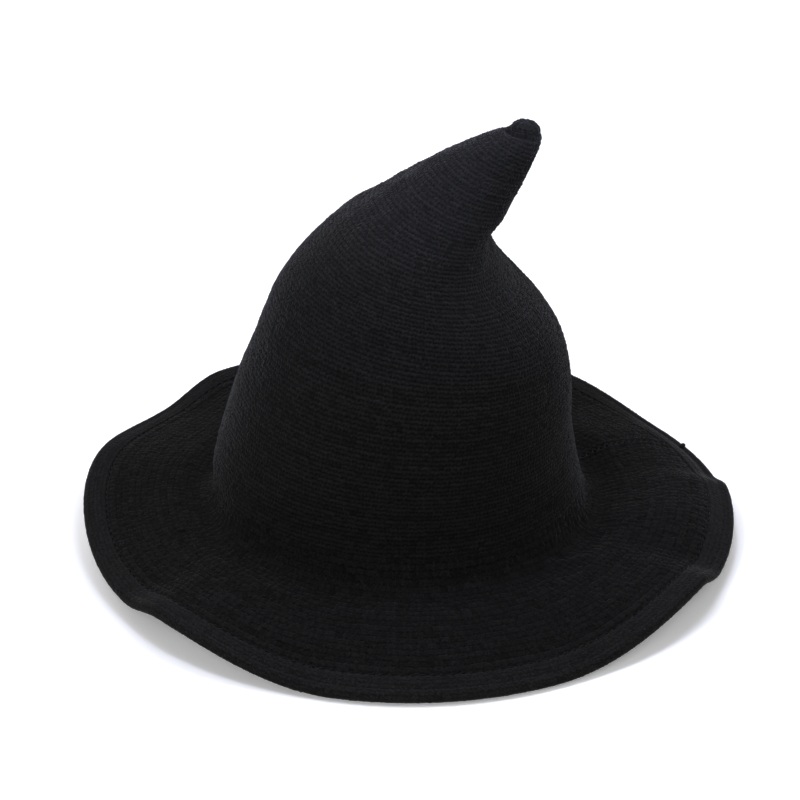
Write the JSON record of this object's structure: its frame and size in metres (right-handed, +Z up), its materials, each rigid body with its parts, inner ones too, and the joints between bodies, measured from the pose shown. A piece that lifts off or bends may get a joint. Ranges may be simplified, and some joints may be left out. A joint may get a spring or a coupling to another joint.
{
  "type": "knitted witch hat",
  "caption": "Soft knitted witch hat with a cone crown whose tip folds over and a wide wavy brim held by a wire in its hem.",
  "frame": {"origin": "on the surface the brim stands on, under the middle of the brim", "axes": "+Z up along the crown, +X the side the tip leans to, -Y the front as pictured"},
  "size_m": [0.356, 0.356, 0.2356],
  "materials": {
    "knit": "black wool-blend knit, matt with a fine fuzz",
    "hem_knit": "black knit rolled tight round the wire, smoother and a little lighter",
    "thread": "black yarn and sewing thread",
    "band": "black grosgrain ribbon",
    "label": "plain woven satin, blank",
    "wire": "bright spring steel",
    "joiner": "crimped steel sleeve"
  },
  "bodies": {
    "crown": {"crown_knit": "knit", "seam_crown": "thread", "sweatband": "band", "sweatband_stitching": "thread", "care_label": "label", "brim_knit": "knit", "brim_hem": "hem_knit", "hem_stitching": "thread", "brim_wire": "wire", "wire_joiner": "joiner", "seam_brim": "thread", "seam_end_knot": "thread"},
    "tip": {"tip_knit": "knit", "tip_gather": "knit", "seam_tip": "thread"}
  },
  "joints": [
    {"name": "tip_fold", "type": "hinge", "parent": "crown", "child": "tip", "pos_m": [-0.0153, 0, 0.1954], "axis": [0, -1, 0], "range_deg": [0, 35]}
  ]
}
